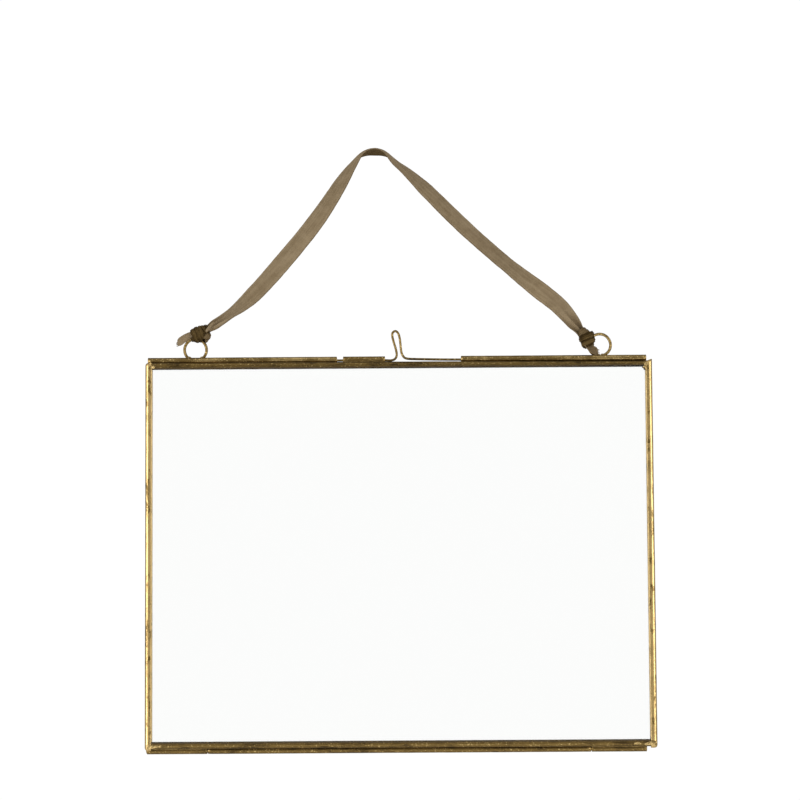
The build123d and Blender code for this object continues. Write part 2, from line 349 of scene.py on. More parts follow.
def ribbon_finish(name, light, dark, selvedge_and_groove_shade=0.35, gloss=0.3):
    """Fine woven ribbon, on the piece's own map in metres: along it, then across."""
    settings = bpy.context.scene.frame_ribbon
    material, nodes = new_material(name)
    lie = nodes.add("ShaderNodeUVMap", {"uv_map": "lie"})
    along = nodes.add("ShaderNodeSeparateXYZ", None, [lie], output="X")
    across = nodes.add("ShaderNodeSeparateXYZ", None, [lie], output="Y")
    turn = 2 * pi / settings.thread
    weft = (along * turn).sine()
    warp = (across * turn).sine()
    weave = (weft * warp) * 0.5 + 0.5
    place = nodes.stretched(lie, (1000.0, 1000.0, 1000.0))
    slubs = nodes.speckle(place, 1.0, 2.0, stretch=(4.0, 0.35, 1.0))
    ends = nodes.speckle(place, 1.0, 9.0, stretch=(0.30, 5.0, 1.0))
    mottle = nodes.speckle(place, 0.35, 5.0, 2.0)
    streaks = nodes.speckle(place, 1.0, 7.0, 2.0, stretch=(0.05, 0.9, 1.0))
    edge = across.size() * (2 / settings.width)
    # Darker selvedge threads along the edges; on the knots' cloth this darkening is stronger, a painted shade
    # in the grooves between the wraps.
    selvedge = edge.rise(0.90, 0.955)
    line = edge.rise(0.72, 0.86) - selvedge
    tone = weave * 0.08 + slubs * 0.12 + ends * 0.12 + mottle.rise(0.3, 0.7) * 0.30
    tone = tone + line * 0.16 + streaks.rise(0.32, 0.68) * 0.40 + 0.06
    # The hollows' value darkens the tone: painted shade in the folds.
    tone = (tone - selvedge * selvedge_and_groove_shade - nodes.attribute("hollow") * 0.8).clamped()
    woven_tone_and_shade = nodes.blend(tone, dark, light)
    # Painted shade on the ribbon's underside, deepest where it turns over the nail.
    cloth = nodes.blend(nodes.attribute("under"), woven_tone_and_shade, settings.shade)
    height = weave * 0.6 + slubs * 0.6 + ends * 0.4 + selvedge * 0.5
    finish_material(nodes, {
        "Base Color": cloth, "Roughness": 0.72 - line * 0.1,
        "Normal": nodes.bumped(height, 0.5, 0.05), "Sheen Weight": gloss * 0.3,
        "Sheen Roughness": 0.4, "Sheen Tint": (0.80, 0.64, 0.42, 1.0),
        "Specular IOR Level": gloss, "Specular Tint": (0.86, 0.68, 0.46, 1.0),
    })
    return material


# ---- geometry ----


def show(name, mesh, material):
    """An object at the origin that shows this mesh in this material."""
    piece = bpy.data.objects.new(name, mesh)
    bpy.context.scene.collection.objects.link(piece)
    if material:
        mesh.materials.clear()
        mesh.materials.append(material)
    return piece


def discard(*objects):
    for item in objects:
        bpy.data.objects.remove(item)


def settled(shape, name):
    """A bmesh as a mesh of its own."""
    mesh = bpy.data.meshes.new(name)
    shape.to_mesh(mesh)
    shape.free()
    return mesh


def unit(rows):
    return rows / np.linalg.norm(rows, axis=1)[:, None]


def travelled(line):
    """How far along a line each of its points is."""
    return np.concatenate([[0], np.cumsum(np.linalg.norm(np.diff(line, axis=0), axis=1))])


def chain(points, closed=False, marks=None):
    """A mesh of edges through these points, with a named value at each for every mark."""
    mesh = bpy.data.meshes.new("chain")
    edges = [(i, i + 1) for i in range(len(points) - 1)]
    if closed:
        edges.append((len(points) - 1, 0))
    mesh.from_pydata(points, edges, [])
    for name, values in (marks or {}).items():
        layer = mesh.attributes.new(name, "FLOAT", "POINT")
        layer.data.foreach_set("value", values)
    return show("chain", mesh, None)


def new_tree(name, sockets):
    """A Geometry Nodes tree with these inputs, the builder for its nodes, and its inputs."""
    tree = bpy.data.node_groups.new(name, "GeometryNodeTree")
    for socket, kind in sockets.items():
        tree.interface.new_socket(name=socket, in_out="INPUT", socket_type=f"NodeSocket{kind}")
    tree.interface.new_socket(name="Geometry", in_out="OUTPUT", socket_type="NodeSocketGeometry")
    nodes = Nodes(tree)
    return tree, nodes, {socket: nodes.add("NodeGroupInput", output=socket) for socket in sockets}


def finish_tree(nodes, geometry, material):
    """Real geometry in this material, on the tree's output."""
    real = nodes.add("GeometryNodeRealizeInstances", None, {"Geometry": geometry})
    done = nodes.add("GeometryNodeSetMaterial", None, {"Geometry": real, "Material": material})
    nodes.add("NodeGroupOutput", None, {"Geometry": done})


def sweep_tree():
    """Geometry Nodes: a section swept along a path, bent and dented as hand work is."""
    tree, nodes, asked = new_tree("hand_worked_sweep", {
        "Path": "Object", "Section": "Object", "Caps": "Bool", "Bend": "Float",
        "Bend Length": "Float", "Dents": "Float", "Dent Length": "Float", "Seed": "Float",
        "Material": "Material",
    })
    path = nodes.add("GeometryNodeObjectInfo", None, {"Object": asked["Path"]}, output="Geometry")
    section = nodes.add("GeometryNodeObjectInfo", None, {"Object": asked["Section"]}, output="Geometry")
    rail = nodes.add("GeometryNodeMeshToCurve", None, {"Mesh": path})
    outline = nodes.add("GeometryNodeMeshToCurve", None, {"Mesh": section})
    inputs = {"Curve": rail, "Profile Curve": outline, "Fill Caps": asked["Caps"]}
    body = nodes.add("GeometryNodeCurveToMesh", None, inputs)
    place = nodes.add("GeometryNodeInputPosition")
    shifts = []
    for amount, length, detail in (("Bend", "Bend Length", 0.0), ("Dents", "Dent Length", 2.0)):
        values = {"Vector": place, "W": asked["Seed"], "Scale": 1 / asked[length], "Detail": detail}
        field = nodes.add("ShaderNodeTexNoise", {"noise_dimensions": "4D"}, values, output="Color")
        values = {0: field, 1: (0.5, 0.5, 0.5)}
        centred = nodes.add("ShaderNodeVectorMath", {"operation": "SUBTRACT"}, values)
        values = {0: centred, "Scale": asked[amount] * 2}
        shifts.append(nodes.add("ShaderNodeVectorMath", {"operation": "SCALE"}, values))
    shift = nodes.add("ShaderNodeVectorMath", {"operation": "ADD"}, {0: shifts[0], 1: shifts[1]})
    moved = nodes.add("GeometryNodeSetPosition", None, {"Geometry": body, "Offset": shift})
    smooth = nodes.add("GeometryNodeSetShadeSmooth", None, {"Geometry": moved})
    finish_tree(nodes, smooth, asked["Material"])
    return tree


def plain_mesh(piece):
    """What a piece looks like with its modifiers, as a mesh of its own."""
    bpy.context.view_layer.update()
    depsgraph = bpy.context.evaluated_depsgraph_get()
    return bpy.data.meshes.new_from_object(
        piece.evaluated_get(depsgraph), preserve_all_data_layers=True, depsgraph=depsgraph
    )


def run_tree(name, tree, values):
    """A Geometry Nodes tree with these inputs, as a plain mesh."""
    holder = show(name, bpy.data.meshes.new(name), None)
    modifier = holder.modifiers.new(name, "NODES")
    modifier.node_group = tree
    for item in tree.interface.items_tree:
        if item.in_out == "INPUT":
            modifier[item.identifier] = values[item.name]
    mesh = plain_mesh(holder)
    discard(holder)
    return mesh


def swept(name, path, section, material, seed, caps=True, bend=None, dents=None, dent_length=5.0):
    """The hand-worked sweep of a section, a chain, along a path, another chain."""
    settings = bpy.context.scene.frame_brass
    mesh = run_tree(name, bpy.data.node_groups.get("hand_worked_sweep") or sweep_tree(), {
        "Path": path, "Section": section, "Caps": caps,
        "Bend": settings.bend if bend is None else bend * MM, "Bend Length": 60 * MM,
        "Dents": settings.dents if dents is None else dents * MM, "Dent Length": dent_length * MM,
        "Seed": seed, "Material": material,
    })
    discard(path, section)
    return mesh


def standing(origin, x_axis, y_axis):
    """The matrix of a piece drawn in its own axes, the third square to the two given."""
    x_axis, y_axis = Vector(x_axis).normalized(), Vector(y_axis).normalized()
    matrix = Matrix((x_axis, y_axis, x_axis.cross(y_axis))).transposed().to_4x4()
    matrix.translation = origin
    return matrix


def moved_points(mesh, change):
    """Passes a mesh's points, an array of rows, through a function."""
    points = np.empty(len(mesh.vertices) * 3)
    mesh.vertices.foreach_get("co", points)
    mesh.vertices.foreach_set("co", change(points.reshape(-1, 3)).ravel())
    mesh.update()


def stations(length, step, close=()):
    """Places along a length, a step apart, and closer together near its two ends."""
    margin = close[-1] if close else 0
    inner = np.linspace(margin, length - margin, max(2, round(length / step)))
    if not close:
        return list(inner)
    return [0.0, *close[:-1], *inner, *(length - c for c in reversed(close[:-1])), length]


def arc(radius, start, end, count, x=0.0, y=0.0):
    """Points on an arc, its angles in degrees."""
    turns = np.radians(np.linspace(start, end, count))
    return [(x + radius * cos(t), y + radius * sin(t)) for t in turns]


def smooth_line(points, step):
    """Even steps along the smooth curve that has these points as its control points."""
    curve = bpy.data.curves.new("route", "CURVE")
    curve.dimensions = "3D"
    curve.resolution_u = 24
    spline = curve.splines.new("NURBS")
    spline.points.add(len(points) - 1)
    for knot_point, place in zip(spline.points, points):
        knot_point.co = (*place, 1)
    spline.order_u = 3
    spline.use_endpoint_u = True
    holder = bpy.data.objects.new("route", curve)
    bpy.context.scene.collection.objects.link(holder)
    mesh = plain_mesh(holder)
    line = np.array([vertex.co for vertex in mesh.vertices])
    discard(holder)
    gone = travelled(line)
    even = np.linspace(0, gone[-1], max(3, round(gone[-1] / step)))
    return np.stack([np.interp(even, gone, line[:, i]) for i in range(3)], axis=1), even


def body_of(node):
    bodies = frame["record"]["behaviour"]["bodies"]
    return next(body for body, nodes in bodies.items() if node in nodes)


def ride(piece, node):
    """Puts a piece on the body of one part of the frame, in place of that part."""
    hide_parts(node)
    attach(piece, body_of(node))
    return piece


# ---- rails and tubes ----


def channel_section(lip_tone):
    """A rail's section: X to the front, Y outwards from the lips beside the glass.

    The value given is how far its lips are lightened; below 0 they are darkened instead, a painted shade in
    the groove beside the glass.
    """
    wall = bpy.context.scene.frame_brass.wall
    radius = RAIL_T / 2
    bore = radius - wall
    straight = RAIL_FACE - radius
    worn = 0.09 * MM
    outside = [(radius, worn), (radius, 2.2 * worn), (radius, straight / 2), (radius, straight * 0.85)]
    back = arc(radius, 0, 180, 23, y=straight)
    front_lip = [(bore, 2.2 * worn), (bore, worn), (bore + worn, 0), (radius - worn, 0)]
    rear_lip = [(-x, y) for x, y in reversed(front_lip)]
    inside = [(-bore, straight / 2), *arc(bore, 180, 0, 11, y=straight), (bore, straight / 2)]
    rear = [(-x, y) for x, y in reversed(outside)]
    points = [*outside, *back, *rear, *rear_lip, *inside, *front_lip]
    lip = set(front_lip[2:] + rear_lip[:2])
    reach = worn if lip_tone > 0 else 2.2 * worn
    edge = lip | {p for p in points if p[1] <= reach and abs(p[0]) == radius}
    rubbed = [max(lip_tone, 0.0) if p in edge else 0.0 for p in points]
    # A dark lip value paints shade along the lips; the inside is oxide in the hollow.
    sunk = [1.0 if p in inside else max(-lip_tone, 0.0) if p in edge else 0.0 for p in points]
    return chain([(x, y, 0) for x, y in points], True, {"rubbed": rubbed, "sunk": sunk})


def rounded_ends(length, near_corner, far_corner):
    """Closes a side rail's ends to the leaf's outline: a full round, and worn outer corners."""
    radius = RAIL_T / 2

    def change(points):
        end = np.minimum(points[:, 2], length - points[:, 2]).clip(0)
        corner = np.where(points[:, 2] < length / 2, near_corner, far_corner)
        full = np.sqrt(np.clip(1 - (1 - end / radius).clip(0) ** 2, 0.003, 1))
        worn = corner - np.sqrt(np.clip(corner ** 2 - (corner - end).clip(0) ** 2, 0, None))
        points[:, 0] *= full
        points[:, 1] *= 1 - worn / RAIL_FACE
        return points

    return change


def snipped_end(length, slant):
    """Cuts a rail's far end at a slant, shorter at its lips."""

    def change(points):
        near = (1 - (length - points[:, 2]) / (3 * MM)).clip(0, 1)
        points[:, 2] -= slant * near * (1 - points[:, 1] / RAIL_FACE).clip(0, 1)
        return points

    return change


def filed_back(length, drop, rise):
    """Narrows a rail towards its start: its back by drop, and its lips by rise."""

    def change(points):
        back = (points[:, 1] / RAIL_FACE).clip(0, 1)
        points[:, 1] += (1 - points[:, 2] / length) ** 2 * (rise * (1 - back) - drop * back)
        return points

    return change


# How far, in millimetres, the front leaf's upright rails run past its corners, below and above.
OVERRUN = {"left": (0.7, 0.0), "right": (0.6, 0.5)}
OUTWARDS = {
    "top": Vector((0, 0, 1)), "bottom": Vector((0, 0, -1)),
    "left": Vector((-1, 0, 0)), "right": Vector((1, 0, 0)),
}
# Where an upright rail's stations stand closer together, in millimetres from its end.
NEAR_ENDS = (0.06, 0.16, 0.3, 0.5, 0.8, 1.15, 1.6)


def rail(leaf, side, material, seed):
    node = f"{leaf}_{side}_rail"
    low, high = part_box(node)
    forward, outwards = Vector((0, -1, 0)), OUTWARDS[side]
    along = forward.cross(outwards)
    upright = side in ("left", "right")
    if upright:
        below, above = OVERRUN[side] if leaf == "front" else (0.0, 0.0)
        low.z, high.z = LEAF_BOTTOM - below * MM, LEAF_TOP + above * MM
    length = high.z - low.z if upright else high.x - low.x
    start = (low + high) / 2
    for i, way in enumerate(along + outwards):
        if abs(way) > 0.5:
            start[i] = low[i] if way > 0 else high[i]
    close = [c * MM for c in NEAR_ENDS] if upright else []
    path = chain([(0, 0, z) for z in stations(length, 1.1 * MM, close)])
    mesh = swept(node, path, channel_section(UPRIGHT_LIPS if upright else LEVEL_LIPS), material, seed)
    if upright:
        # The right side is drawn from its bottom up, so its top is the far end.
        snipped = node == "front_right_rail"
        moved_points(mesh, rounded_ends(length, END_ROUND, SNIPPED_ROUND if snipped else END_ROUND))
        if snipped:
            moved_points(mesh, snipped_end(length, SNIP))
    if node == "front_top_rail":
        moved_points(mesh, filed_back(length, TOP_RAIL_DROP, TOP_RAIL_RISE))
    mesh.transform(standing(start, forward, outwards))
    ride(show(f"{node}_worked", mesh, material), node)


def barrel_section(length):
    """The wall of a tube: X out from its axis, Y against its length."""
    wall = bpy.context.scene.frame_brass.wall * 0.9
    worn = 0.1 * MM
    places = [-z for z in stations(length - 2 * worn, 1.5 * MM)]
    outer = [(wall / 2, y - worn) for y in reversed(places)]
    inner = [(-wall / 2, y - worn) for y in places]
    far_end = [(worn - wall / 2, -length), (wall / 2 - worn, -length)]
    near_end = [(wall / 2 - worn, 0), (worn - wall / 2, 0)]
    points = [*far_end, *outer, *near_end, *inner]
    rubbed = [1.0 if p in far_end or p in near_end else 0.0 for p in points]
    sunk = [1.0 if p in inner else 0.0 for p in points]
    return chain([(x, y, 0) for x, y in points], True, {"rubbed": rubbed, "sunk": sunk})


def tube(node, material, seed):
    low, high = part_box(node)
    wall = bpy.context.scene.frame_brass.wall * 0.9
    ring = [(x, y, 0) for x, y in arc(TUBE_R - wall / 2, 0, 360, 33)[:-1]]
    mesh = swept(node, chain(ring, True), barrel_section(high.x - low.x), material, seed, caps=False)
    axis = middle(node)
    mesh.transform(standing((low.x, axis.y, axis.z), (0, 1, 0), (0, 0, 1)))
    ride(show(f"{node}_worked", mesh, material), node)


def wire_section(thickness):
    return chain([(x, y, 0) for x, y in arc(thickness / 2 * WIRE_DRAWN, 0, 360, 15)[:-1]], True)


# ---- solder ----


def valley_section(apart, tube_r, rail_r, low, high):
    """The solder between a tube and a rail's round: X from the tube's axis to the rail's."""
    heights = np.linspace(low, high, 6)
    sunk = 0.05 * MM
    by_tube = [(sqrt(tube_r ** 2 - h ** 2) - sunk, h) for h in heights]
    by_rail = [(apart - sqrt(rail_r ** 2 - h ** 2) + sunk, h) for h in heights]
    return chain([(x, y, 0) for x, y in [*by_rail, *reversed(by_tube)]], True)


def seam(name, x0, x1, axis, leaf_y, up, material, seed):
    """A lumpy bead of solder along one side of a tube."""
    rail_z = LEAF_TOP - RAIL_T / 2 if up > 0 else LEAF_BOTTOM + RAIL_T / 2
    down = Vector((0, leaf_y - axis.y, rail_z - axis.z))
    outwards = Vector((0, leaf_y - axis.y, 0))
    across = (outwards - outwards.project(down)).normalized()
    section = valley_section(down.length, TUBE_R, RAIL_T / 2, -0.35 * MM, 0.72 * MM)
    path = chain([(0, 0, z) for z in stations(x1 - x0, 0.7 * MM)])
    mesh = swept(name, path, section, material, seed, bend=0.0, dents=0.09, dent_length=1.3)
    matrix = standing((0, axis.y, axis.z), down, across)
    mesh.transform(matrix)
    along = matrix.col[2].x
    mesh.transform(Matrix.Translation((x0 if along > 0 else x1, 0, 0)))
    return mesh


def lump(centre, size, seed, rough):
    """A rounded drop of solder, uneven on a seed."""
    shape = bmesh.new()
    bmesh.ops.create_icosphere(shape, subdivisions=4, radius=1)
    for vertex in shape.verts:
        swell = noise.noise(vertex.co * 1.3 + Vector((seed, 0, 0)))
        swell += 0.5 * noise.noise(vertex.co * 3.1 + Vector((0, seed, 0)))
        vertex.co *= 1 + rough * swell
        vertex.co = Vector(centre) + Vector([c * s for c, s in zip(vertex.co, size)])
    for face in shape.faces:
        face.smooth = True
    return settled(shape, "lump")


def joined(name, meshes):
    """Several meshes as one."""
    shape = bmesh.new()
    for mesh in meshes:
        shape.from_mesh(mesh)
        bpy.data.meshes.remove(mesh)
    return settled(shape, name)


# Drops of solder at the corners of a leaf, in millimetres: out along X and Z from the corner
# of the opening, half its width, half its height, and how proud it stands.
CORNER_DROPS = {
    ("left", "top"): (
        (-0.75, 0.75, 0.60, 0.60, 0.16), (0.9, 1.7, 0.75, 0.65, 0.14), (0.3, 2.3, 0.5, 0.4, 0.12),
    ),
    ("right", "top"): (
        (-0.35, -0.25, 0.75, 0.45, 0.30), (-0.2, -0.6, 0.45, 0.7, 0.30), (0.2, 0.9, 0.9, 0.8, 0.12),
    ),
    ("left", "bottom"): (
        (0.9, 1.5, 1.0, 0.9, 0.16), (-0.6, 1.7, 1.1, 0.6, 0.15),
        (-2.2, 1.5, 1.2, 0.5, 0.12), (-3.9, 1.4, 0.9, 0.4, 0.10),
    ),
    ("right", "bottom"): (
        (1.0, 1.3, 1.2, 1.1, 0.20), (-0.5, 1.4, 1.1, 0.8, 0.16),
        (-1.9, 1.6, 0.9, 0.5, 0.12), (-5.6, 1.3, 1.3, 0.5, 0.09),
    ),
}


def corner_drops(leaf):
    """Solder over the butt joints at a leaf's four corners."""
    facing = -1 if leaf == "front" else 1
    face_y = (FRONT_Y if leaf == "front" else REAR_Y) + facing * RAIL_T / 2
    drops = []
    for i, ((side, end), places) in enumerate(CORNER_DROPS.items()):
        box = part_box(f"front_{side}_rail")
        x = box[1].x if side == "left" else box[0].x
        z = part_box(f"front_{end}_rail")[0 if end == "top" else 1].z
        out = OUTWARDS[side] * MM, OUTWARDS[end] * MM
        for j, (dx, dz, wide, high, proud) in enumerate(places):
            # A drop on the opening's side of the corner fills it; others lie on the face.
            depth = 0.55 if dx < 0 and dz < 0 else 0.0
            place = Vector((x, face_y - facing * depth * MM, z)) + out[0] * dx + out[1] * dz
            size = (wide * MM, (proud + depth) * MM, high * MM)
            drops.append(lump(place, size, 10 * i + 3 * j + (0 if leaf == "front" else 50), 0.28))
    return joined(f"{leaf}_corner_drops", drops)


# ---- ribbon ----


def smooth(t):
    t = np.clip(t, 0, 1)
    return t * t * (3 - 2 * t)


def wave(x, seed):
    """A smooth wander between -1 and 1."""
    return np.array([noise.noise(Vector((v, seed, 0.3))) for v in np.atleast_1d(x)]) * 1.6


def band(name, centres, sides, normals, gone, profile, material, count, start=0.0,
         hollow_shade=lambda s: 0.0, under=lambda s: 0.2):
    """A strip of ribbon as a closed mesh.

    profile gives, for the distance gone and the places across from -1 to 1, how far each
    place lies along the side, the normal and the run.  The next function gives how much painted
    shade darkens the hollows of its folds, and the last how much painted shade darkens its underside.
    """
    settings = bpy.context.scene.frame_ribbon
    across = np.sin(np.linspace(-pi / 2, pi / 2, count))
    edge = smooth((np.abs(across) - 0.88) / 0.08)
    half = settings.thickness / 2 * (1 + 0.45 * edge) * np.where(np.abs(across) > 0.999, 0.35, 1)
    rows, lies, hollows = [], [], []
    for centre, side, normal, s in zip(centres, sides, normals, gone):
        out, deep, lean = profile(s, across)
        # Painted shade: the deeper a place lies in the strip's folds, the darker it is painted.
        dip = ((deep.max() - deep) / (0.7 * MM)).clip(0, 1) * hollow_shade(s)
        hollows.append(np.concatenate([dip, dip[::-1]]))
        slope_out, slope_deep = np.gradient(out), np.gradient(deep)
        length = np.hypot(slope_out, slope_deep) + 1e-12
        thick_out, thick_deep = -slope_deep / length * half, slope_out / length * half
        tangent = np.cross(normal, side)
        base = centre + np.outer(out, side) + np.outer(deep, normal) + np.outer(lean, tangent)
        lift = np.outer(thick_out, side) + np.outer(thick_deep, normal)
        rows.append(np.concatenate([base + lift, (base - lift)[::-1]]))
        flat = across * settings.width / 2
        lies.append(np.concatenate([flat, flat[::-1]]))
    ring = 2 * count
    points = np.concatenate(rows)
    faces = []
    for i in range(len(rows) - 1):
        for j in range(ring):
            k = (j + 1) % ring
            faces.append((i * ring + j, i * ring + k, (i + 1) * ring + k, (i + 1) * ring + j))
    last = (len(rows) - 1) * ring
    for j in range(count - 1):
        faces.append((j, ring - 1 - j, ring - 2 - j, j + 1))
        faces.append((last + j, last + j + 1, last + ring - 2 - j, last + ring - 1 - j))
    mesh = bpy.data.meshes.new(name)
    mesh.from_pydata(points.tolist(), [], faces)
    lie = mesh.uv_layers.new(name="lie")
    values = np.stack([np.repeat(start + np.asarray(gone), ring), np.concatenate(lies)], axis=1)
    # Painted shade: the back of each strip is darkened by the underside value, its face not at all.
    shade = mesh.attributes.new("under", "FLOAT", "POINT")
    shade.data.foreach_set("value", np.concatenate([np.repeat([0.0, under(s)], count) for s in gone]))
    hollow = mesh.attributes.new("hollow", "FLOAT", "POINT")
    hollow.data.foreach_set("value", np.concatenate(hollows))
    corners = np.empty(len(mesh.loops), int)
    mesh.loops.foreach_get("vertex_index", corners)
    lie.data.foreach_set("uv", values[corners].ravel())
    shape = bmesh.new()
    shape.from_mesh(mesh)
    bmesh.ops.recalc_face_normals(shape, faces=shape.faces)
    shape.to_mesh(mesh)
    shape.free()
    mesh.shade_smooth()
    return show(name, mesh, material)


def plane_frames(line, gone, faces, route):
    """Sides and normals of a strip that lies along a line in an XZ plane."""
    stops = travelled(np.array(route))
    turned = np.radians(np.interp(gone / gone[-1], stops / stops[-1], faces))
    eased = np.pad(turned, 2, mode="edge")
    turned = np.convolve(eased, np.array([1, 2, 3, 2, 1]) / 9, mode="valid")
    tangent = unit(np.gradient(line, axis=0))
    outside = np.stack([-tangent[:, 2], 0 * turned, tangent[:, 0]], axis=1)
    normals = np.array([0, -1, 0]) * np.cos(turned)[:, None] + outside * np.sin(turned)[:, None]
    return np.cross(tangent, normals), normals


def laid(route, faces):
    """The line of a strip through places in millimetres, its sides, normals and lengths."""
    route = [tuple(c * MM for c in place) for place in route]
    line, gone = smooth_line(route, 0.3 * MM)
    return line, *plane_frames(line, gone, faces, route), gone


def cloth():
    settings = bpy.context.scene.frame_ribbon
    return finish_of("ribbon_cloth", ribbon_finish, settings.light, settings.dark)


def strap():
    """The long strap of the ribbon, gathered where it runs into each knot."""
    settings = bpy.context.scene.frame_ribbon
    line, gone = smooth_line(RIBBON_ROUTE, 0.8 * MM)
    sides, normals = plane_frames(line, gone, RIBBON_FACES, RIBBON_ROUTE)
    half = settings.width / 2
    total = gone[-1]
    nail = gone[np.argmax(line[:, 2])]

    def profile(s, v):
        left = 1 - smooth(s / (15 * MM))
        right = 1 - smooth((total - s) / (13 * MM))
        tight = max(1 - smooth((total - s) / (4.5 * MM)), 1 - smooth(s / (3.5 * MM)))
        out = v * half * (1 - 0.16 * left - 0.08 * right - 0.34 * tight)
        crown = 0.22 * MM * (1 - v ** 2) * (1 - left) * (1 - right)
        crown = crown + 1.15 * MM * (0.15 - v ** 2) * exp(-(((s - nail) / (14 * MM)) ** 4))
        pleats_left = 0.85 * MM * left * (1 - 2 * np.abs(np.sin(1.25 * pi * v + 0.5)))
        pleats_right = 0.95 * MM * right * (1 - 2 * np.abs(np.sin(1.0 * pi * v - 0.6)))
        ripple = 0.10 * MM * np.sin(s / (9 * MM) + 1.3) * v
        ripple = ripple + 0.05 * MM * wave(s / (5 * MM), 1.0) * v ** 2
        rim = 0.05 * MM * wave(s / (2.2 * MM), 5.0) * (v ** 8)
        return out + rim * np.sign(v), crown + pleats_left + pleats_right + ripple, 0 * v

    # Painted shade in the pleats' hollows, where the strap gathers into each knot.
    def hollow_shade(s):
        return 0.75 * max(1 - smooth(s / (13 * MM)), 1 - smooth((total - s) / (12 * MM)))

    # Painted shade on the strap's back: a little all along, deep where it turns over the nail.
    def under(s):
        return 0.2 + 0.75 * exp(-(((s - nail) / (11 * MM)) ** 4))

    strip = (line, sides, normals, gone)
    return band("ribbon_strap", *strip, profile, cloth(), 40, 0.0, hollow_shade, under), line


def winding(name, centre, lean, ends, turns, radius, width, material, seed, phase, crown):
    """A strip wound round a barrel whose axis leans upwards from +X, between two places on it.

    The places, the radius for a share of the way, the width and the crown are in millimetres.
    """
    start, end = (place * MM for place in ends)
    axis = np.array([cos(radians(lean)), 0, sin(radians(lean))])
    front = np.array([0, -1, 0])
    up = np.cross(axis, front)
    count = int(abs(turns) * 44)
    t = np.linspace(0, 1, count)
    angle = phase + 2 * pi * turns * t
    tuck = smooth(t / 0.1) * smooth((1 - t) / 0.1)
    reach = radius(t) * MM * (0.5 + 0.5 * tuck) + 0.12 * MM * wave(t * 9, seed)
    round_it = np.outer(np.cos(angle), front) + np.outer(np.sin(angle), up)
    place = start + (end - start) * t + 0.22 * MM * wave(t * turns * 1.7, seed + 4)
    line = np.array(centre) + np.outer(place, axis) + round_it * reach[:, None]
    tangent = unit(np.gradient(line, axis=0))
    leaning = radians(12)
    normals = round_it * cos(leaning) + axis * sin(leaning)
    normals = unit(normals - tangent * np.sum(normals * tangent, axis=1)[:, None])

    def profile(s, v):
        squeeze = 1 + 0.18 * wave(s / (2.5 * MM), seed + 2)
        fold = 0.3 * MM * np.abs(np.sin(2.0 * pi * v + s / (2.6 * MM) + seed))
        return v * width * MM / 2 * squeeze, crown * MM * (1 - v ** 2) - fold, 0 * v

    strip = (line, np.cross(tangent, normals), normals, travelled(line))
    # The wraps' hollows get full painted shade.
    return band(name, *strip, profile, material, 20, seed * MM, lambda s: 1.0)


def core(name, centre, lean, length, radius, material):
    """The crumpled middle of a knot."""
    shape = bmesh.new()
    bmesh.ops.create_icosphere(shape, subdivisions=5, radius=1)
    turn = Matrix.Rotation(-radians(lean), 3, "Y")
    for vertex in shape.verts:
        swell = noise.noise(vertex.co * 2.2) * 0.14 + abs(noise.noise(vertex.co * 4.5)) * 0.12
        size = Vector((vertex.co.x * length / 2, vertex.co.y * radius, vertex.co.z * radius))
        vertex.co = Vector(centre) + turn @ (size * (1 + swell))
    mesh = settled(shape, name)
    lie = mesh.uv_layers.new(name="lie")
    for loop in mesh.loops:
        place = mesh.vertices[loop.vertex_index].co
        lie.data[loop.index].uv = (place.x + place.y, (place.z - centre[2]) * 0.5)
    mesh.shade_smooth()
    return show(name, mesh, material)


def fraying_tree():
    """Geometry Nodes: loose threads that stand out of a cut edge."""
    tree, nodes, asked = new_tree("frayed_edge", {
        "Edge": "Object", "Count": "Int", "Length": "Float", "Thickness": "Float",
        "Direction": "Vector", "Spread": "Float", "Seed": "Int", "Material": "Material",
    })
    edge = nodes.add("GeometryNodeObjectInfo", None, {"Object": asked["Edge"]}, output="Geometry")
    rail_curve = nodes.add("GeometryNodeMeshToCurve", None, {"Mesh": edge})
    roots = nodes.add("GeometryNodeResampleCurve", None, {"Curve": rail_curve, "Count": asked["Count"]})
    top = nodes.add("ShaderNodeCombineXYZ", None, {"Z": asked["Length"]})
    values = {"X": asked["Length"] * 0.18, "Z": asked["Length"] * 0.5}
    half = nodes.add("ShaderNodeCombineXYZ", None, values)
    values = {"Resolution": 4, "Start": (0.0, 0.0, 0.0), "Middle": half, "End": top}
    bent = nodes.add("GeometryNodeCurveQuadraticBezier", None, values)
    values = {"Resolution": 4, "Radius": asked["Thickness"]}
    section = nodes.add("GeometryNodeCurvePrimitiveCircle", None, values)
    inputs = {"Curve": bent, "Profile Curve": section, "Fill Caps": True}
    thread = nodes.add("GeometryNodeCurveToMesh", None, inputs)
    settings = {"data_type": "FLOAT_VECTOR"}
    values = {"Min": (-1.0, -1.0, -1.0), "Max": (1.0, 1.0, 1.0), "Seed": asked["Seed"]}
    jitter = nodes.add("FunctionNodeRandomValue", settings, values)
    values = {0: jitter, "Scale": asked["Spread"]}
    jitter = nodes.add("ShaderNodeVectorMath", {"operation": "SCALE"}, values)
    values = {0: asked["Direction"], 1: jitter}
    heading = nodes.add("ShaderNodeVectorMath", {"operation": "ADD"}, values)
    turned = nodes.add("FunctionNodeAlignRotationToVector", {"axis": "Z"}, {"Vector": heading})
    values = {2: 0.3, 3: 1.0, "Seed": asked["Seed"]}
    random = nodes.add("FunctionNodeRandomValue", {"data_type": "FLOAT"}, values, 1)
    inputs = {"Points": roots, "Instance": thread, "Rotation": turned, "Scale": random}
    spread = nodes.add("GeometryNodeInstanceOnPoints", None, inputs)
    finish_tree(nodes, spread, asked["Material"])
    return tree


def frayed(name, edge, direction, count, length, seed, material):
    """Loose threads along a cut edge, its points given, as a plain mesh."""
    rail_of = chain(edge)
    mesh = run_tree(name, bpy.data.node_groups.get("frayed_edge") or fraying_tree(), {
        "Edge": rail_of, "Count": count, "Length": length * MM, "Thickness": 0.035 * MM,
        "Direction": direction, "Spread": 0.45, "Seed": seed, "Material": material,
    })
    discard(rail_of)
    return mesh


